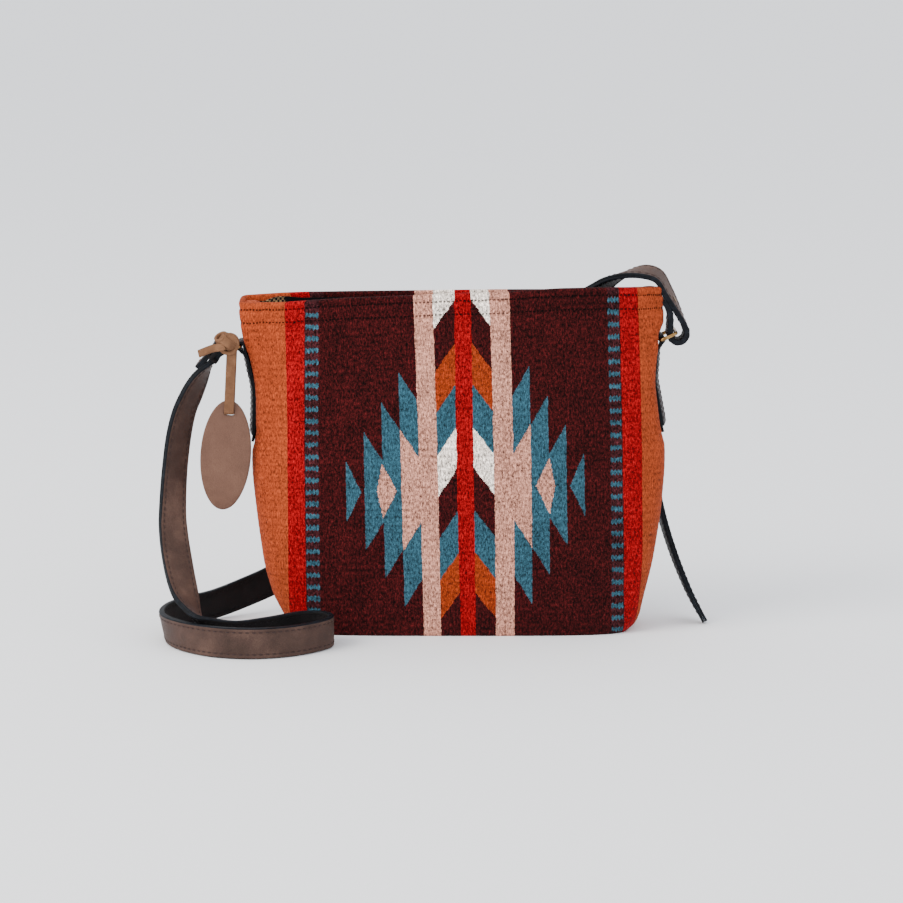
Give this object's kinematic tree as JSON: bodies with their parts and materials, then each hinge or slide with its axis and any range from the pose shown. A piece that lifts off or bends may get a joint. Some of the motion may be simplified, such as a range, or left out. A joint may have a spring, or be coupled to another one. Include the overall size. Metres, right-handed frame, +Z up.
{
  "type": "woven wool crossbody bag",
  "caption": "Small flat-based crossbody bag of striped hand-woven wool with serrated diamonds, a leather strap on brass rings, a knotted lace and an oval tag.",
  "frame": {"origin": "the middle of the flat base, where the bag stands", "axes": "+Z up, +X to the right along the long side as seen from the front, +Y toward the back"},
  "size_m": [0.3303, 0.1381, 0.2199],
  "materials": {
    "woven_wool": "ribbed, matte, striped wool",
    "checked_lining": "matte, small check",
    "brown_leather": "soft sheen",
    "black_leather": "matte",
    "tan_leather": "matte",
    "brass": "satin"
  },
  "bodies": {
    "bag": {"woven_body": "woven_wool", "lining": "checked_lining", "left_tab": "brown_leather", "right_tab": "brown_leather", "long_strap_face": "brown_leather", "long_strap_backing": "black_leather", "short_strap_face": "brown_leather", "short_strap_backing": "black_leather", "strap_rivet": "brass", "buckle_frame": "brass", "buckle_prong": "brass", "strap_keeper": "brown_leather", "tag_lace": "tan_leather"},
    "left_ring": {"left_ring": "brass"},
    "right_ring": {"right_ring": "brass"},
    "tag": {"tag": "tan_leather"}
  },
  "joints": [
    {"name": "left_ring_swing", "type": "hinge", "parent": "bag", "child": "left_ring", "pos_m": [-0.13216, 0, 0.17246], "axis": [0, 1, 0], "range_deg": [-80, 55], "deforming": ["long_strap_face", "long_strap_backing", "tag_lace"]},
    {"name": "right_ring_swing", "type": "hinge", "parent": "bag", "child": "right_ring", "pos_m": [0.11827, 0, 0.17636], "axis": [0, 1, 0], "range_deg": [-45, 100], "deforming": ["short_strap_face", "short_strap_backing"]},
    {"name": "tag_swing", "type": "hinge", "parent": "bag", "child": "tag", "pos_m": [-0.13866, -0.0174, 0.16808], "axis": [1, 0, 0], "range_deg": [-70, 5], "deforming": ["tag_lace"]}
  ]
}
